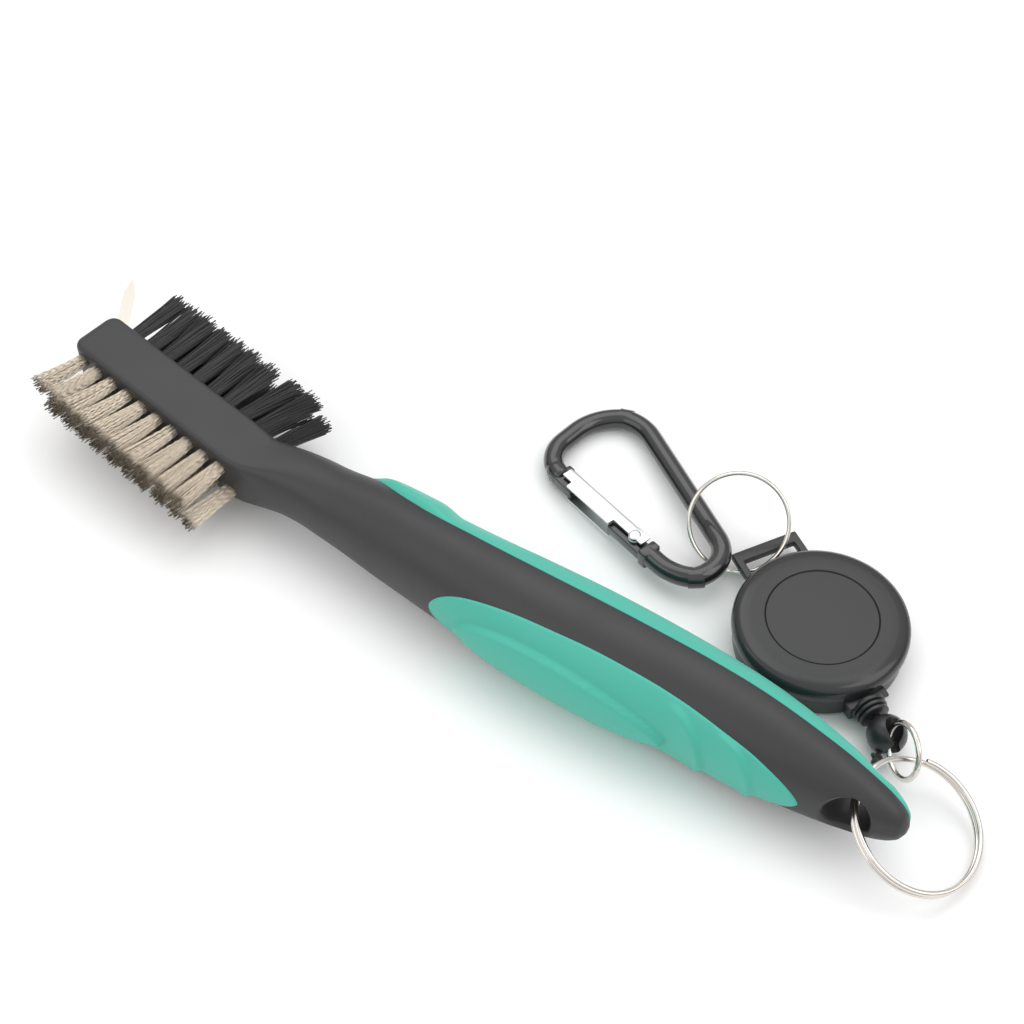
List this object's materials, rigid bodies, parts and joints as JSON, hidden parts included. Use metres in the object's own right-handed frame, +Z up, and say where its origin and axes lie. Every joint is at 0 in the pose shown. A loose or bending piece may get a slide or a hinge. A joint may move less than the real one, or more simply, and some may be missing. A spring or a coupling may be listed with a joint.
{
  "type": "club groove brush",
  "caption": "Golf club groove brush with wire and nylon bristles, a groove spike, soft grips, and a retractable cord reel on a small carabiner.",
  "frame": {"origin": "middle of the footprint, on the surface that the brush, reel and rings lie on", "axes": "+X from the bristle head to the tail along the handle, +Y towards the nylon bristles and the reel, +Z up; the brush lies on its side"},
  "size_m": [0.2024, 0.077, 0.0221],
  "materials": {
    "handle_black": "fine-grained satin moulded polypropylene",
    "grip_green": "soft satin thermoplastic rubber",
    "spike_steel": "satin ground steel",
    "staple_steel": "plain wire",
    "bristle_wire": "crimped bright wire with darker cut tips",
    "bristle_nylon": "straight satin nylon filament",
    "nickel_wire": "bright nickel-plated spring wire",
    "bead_plastic": "semi-gloss moulded plastic",
    "cord_black": "braided polyester cord",
    "reel_plastic": "satin-gloss moulded plastic",
    "reel_gloss": "gloss moulded plastic with a satin face",
    "spring_steel": "rolled spring strip",
    "spool_plastic": "natural moulded acetal",
    "carabiner_black": "gloss black anodised aluminium",
    "gate_aluminium": "plain polished sheet"
  },
  "bodies": {
    "brush": {"handle_body": "handle_black", "front_grip": "grip_green", "back_grip": "grip_green", "groove_spike": "spike_steel", "wire_staples": "staple_steel", "nylon_staples": "staple_steel", "wire_row_top": "bristle_wire", "wire_row_bottom": "bristle_wire", "nylon_row_top": "bristle_nylon", "nylon_row_bottom": "bristle_nylon"},
    "tail_ring": {"tail_split_ring": "nickel_wire"},
    "jump_link": {"jump_ring": "nickel_wire"},
    "bead": {"bead_stop": "bead_plastic", "cord_end": "cord_black"},
    "reel": {"reel_back_cover": "reel_plastic", "reel_front_cover": "reel_gloss", "cord_exit_bush": "bead_plastic", "reel_cord": "cord_black", "spiral_spring": "spring_steel"},
    "spool_body": {"spool": "spool_plastic", "cord_winding": "cord_black"},
    "reel_ring": {"reel_split_ring": "nickel_wire"},
    "carabiner": {"carabiner_body": "carabiner_black", "gate_rivet": "gate_aluminium", "gate_spring": "spring_steel"},
    "gate": {"carabiner_gate": "gate_aluminium"}
  },
  "joints": [
    {"name": "tail_ring_swing", "type": "hinge", "parent": "brush", "child": "tail_ring", "pos_m": [0.07926, -0.01938, 0.01123], "axis": [0, -1, 0], "range_deg": [-60, 110]},
    {"name": "jump_ring_swing", "type": "hinge", "parent": "tail_ring", "child": "jump_link", "pos_m": [0.08275, -0.00547, 0.0084], "axis": [0.7492, 0.5556, -0.3605], "range_deg": [-15, 75]},
    {"name": "bead_swivel", "type": "hinge", "parent": "jump_link", "child": "bead", "pos_m": [0.07731, -0.00182, 0.00478], "axis": [0.2057, -0.4824, -0.8514], "range_deg": [-8, 45]},
    {"name": "cord_pull", "type": "slide", "parent": "bead", "child": "reel", "axis": [-0.8572, 0.515, 0], "range_m": [0, 0.6], "stiffness_N_per_m": 0.6, "springref_m": -1},
    {"name": "spool_spin", "type": "hinge", "parent": "reel", "child": "spool_body", "pos_m": [0.05506, 0.01172, 0.00403], "axis": [0, 0, 1], "range_deg": [0, 3700]},
    {"name": "reel_ring_swing", "type": "hinge", "parent": "reel", "child": "reel_ring", "pos_m": [0.03667, 0.02277, 0.00313], "axis": [0.515, 0.8572, 0], "range_deg": [0, 48]},
    {"name": "carabiner_swing", "type": "hinge", "parent": "reel_ring", "child": "carabiner", "pos_m": [0.03101, 0.01549, 0.00139], "axis": [0.9536, 0.206, -0.2194], "range_deg": [-12, 22]},
    {"name": "gate_open", "type": "hinge", "parent": "carabiner", "child": "gate", "pos_m": [0.01571, 0.00992, 0.00393], "axis": [0.0535, -0.0213, -0.9983], "range_deg": [0, 30], "stiffness_Nm_per_rad": 0.04, "springref_deg": -28.65}
  ],
  "couplings": [
    {"joint": "spool_spin", "follows": "cord_pull", "rad_per_m": 105.26}
  ]
}
